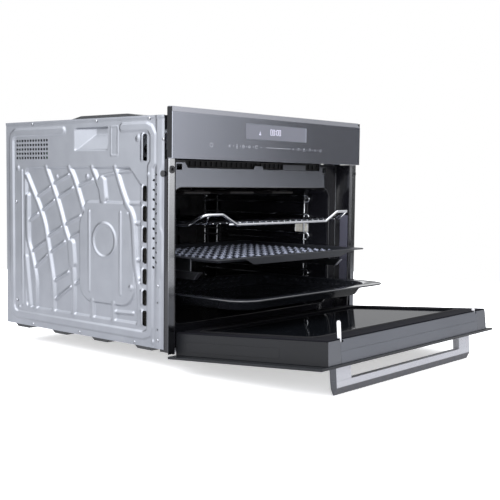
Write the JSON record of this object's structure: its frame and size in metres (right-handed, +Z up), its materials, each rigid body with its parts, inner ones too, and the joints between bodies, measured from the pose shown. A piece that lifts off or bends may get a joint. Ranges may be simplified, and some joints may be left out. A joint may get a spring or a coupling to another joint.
{
  "type": "compact wall oven",
  "caption": "Built-in compact wall oven with a drop-down glass door, wire rack, air-fry tray, deep pan, touch control panel and pressed steel casing.",
  "frame": {"origin": "middle of the flat seat pressed into the base plate, on the plane of the base feet", "axes": "+X to the right as seen from the front, +Y from the front to the back panel, +Z up"},
  "size_m": [0.595, 0.8798, 0.4867],
  "materials": {
    "galvanised_sheet": "satin",
    "plated_sheet": "satin",
    "black_sheet": "satin",
    "black_enamel": "gloss",
    "catch_plate_grey": "satin",
    "bracket_steel": "satin",
    "stainless_trim": "brushed",
    "rubber": "matt",
    "cavity_enamel": "gloss",
    "mineral_wool": "matt",
    "fan_steel": "satin",
    "motor_steel": "satin",
    "heater_sheath": "matt",
    "lamp_box": "satin",
    "lamp_glass": "frosted",
    "bulb_glass": "clear",
    "chrome_wire": "polished",
    "rail_steel": "satin",
    "black_plastic": "matt",
    "impeller_plastic": "matt",
    "fascia_grey": "satin",
    "fascia_edge": "satin",
    "carrier_steel": "satin",
    "display_glass": "gloss",
    "print_light": "satin",
    "board_green": "satin",
    "terminal_white": "matt",
    "zinc_steel": "satin",
    "screw_steel": "satin",
    "tray_enamel": "satin",
    "pan_enamel": "gloss",
    "outer_glass": "gloss",
    "clear_glass": "gloss",
    "inner_glass": "gloss",
    "door_black": "satin",
    "door_profile": "satin",
    "cap_grey": "satin",
    "door_side": "satin",
    "silicone": "matt",
    "tongue_white": "satin",
    "handle_aluminium": "brushed"
  },
  "bodies": {
    "casing": {"left_side_panel": "galvanised_sheet", "right_side_panel": "galvanised_sheet", "back_panel": "plated_sheet", "base_plate": "black_sheet", "top_cover": "plated_sheet", "duct_cover": "black_sheet", "front_frame": "black_enamel", "catch_plate": "catch_plate_grey", "side_trims": "stainless_trim", "fixing_bushes": "rubber", "cavity": "cavity_enamel", "insulation": "mineral_wool", "fan_cover": "cavity_enamel", "fan_motor": "motor_steel", "ring_element": "heater_sheath", "grill_element": "heater_sheath", "base_element": "heater_sheath", "lamp_housing": "lamp_box", "lamp_lens": "lamp_glass", "lamp_bulb": "bulb_glass", "heat_sensors": "lamp_box", "side_racks": "chrome_wire", "telescopic_rails": "rail_steel", "air_duct": "plated_sheet", "blower_housing": "plated_sheet", "blower_motor": "motor_steel", "vent_grille": "black_plastic", "switch_bracket": "bracket_steel", "fascia_panel": "fascia_grey", "fascia_top_strip": "fascia_edge", "fascia_carrier": "carrier_steel", "display_window": "display_glass", "touch_icons": "print_light", "control_housing": "black_plastic", "circuit_boards": "board_green", "terminal_block": "terminal_white", "cable_gland": "black_plastic", "hinge_boxes": "zinc_steel", "hinge_springs": "zinc_steel", "casing_screws": "screw_steel"},
    "door": {"door_outer_glass": "outer_glass", "door_middle_glass": "clear_glass", "door_inner_glass": "inner_glass", "door_inner_frame": "door_black", "door_top_profile": "door_profile", "door_side_profiles": "door_side", "door_bottom_profile": "door_side", "door_end_caps": "cap_grey", "door_gasket": "silicone", "catch_tongues": "tongue_white", "hinge_arms": "zinc_steel", "handle_bar": "handle_aluminium", "handle_posts": "handle_aluminium", "handle_screws": "screw_steel"},
    "convection_fan_rotor": {"convection_fan": "fan_steel"},
    "blower_rotor": {"blower_impeller": "impeller_plastic"},
    "wire_shelf": {"wire_rack": "chrome_wire"},
    "fry_shelf": {"air_fry_tray": "tray_enamel", "rail_runners": "rail_steel"},
    "pan_shelf": {"deep_pan": "pan_enamel"}
  },
  "joints": [
    {"name": "door_hinge", "type": "hinge", "parent": "casing", "child": "door", "pos_m": [0, -0.28, 0.005], "axis": [-1, 0, 0], "range_deg": [0, 85.7]},
    {"name": "wire_rack_slide", "type": "slide", "parent": "casing", "child": "wire_shelf", "axis": [0, 1, 0], "range_m": [0, 0.098]},
    {"name": "fry_tray_slide", "type": "slide", "parent": "casing", "child": "fry_shelf", "axis": [0, 1, 0], "range_m": [0, 0.139]},
    {"name": "deep_pan_slide", "type": "slide", "parent": "casing", "child": "pan_shelf", "axis": [0, 1, 0], "range_m": [0, 0.202]},
    {"name": "convection_fan_spin", "type": "hinge", "parent": "casing", "child": "convection_fan_rotor", "pos_m": [0, 0.16, 0.178], "axis": [0, 1, 0], "continuous": true},
    {"name": "blower_spin", "type": "hinge", "parent": "casing", "child": "blower_rotor", "pos_m": [0.11, 0.11, 0.353], "axis": [0, 0, 1], "continuous": true}
  ],
  "couplings": [
    {"joint": "wire_rack_slide", "follows": "door_hinge", "m_per_rad": 0.0655},
    {"joint": "fry_tray_slide", "follows": "door_hinge", "m_per_rad": 0.0928},
    {"joint": "deep_pan_slide", "follows": "door_hinge", "m_per_rad": 0.135}
  ]
}
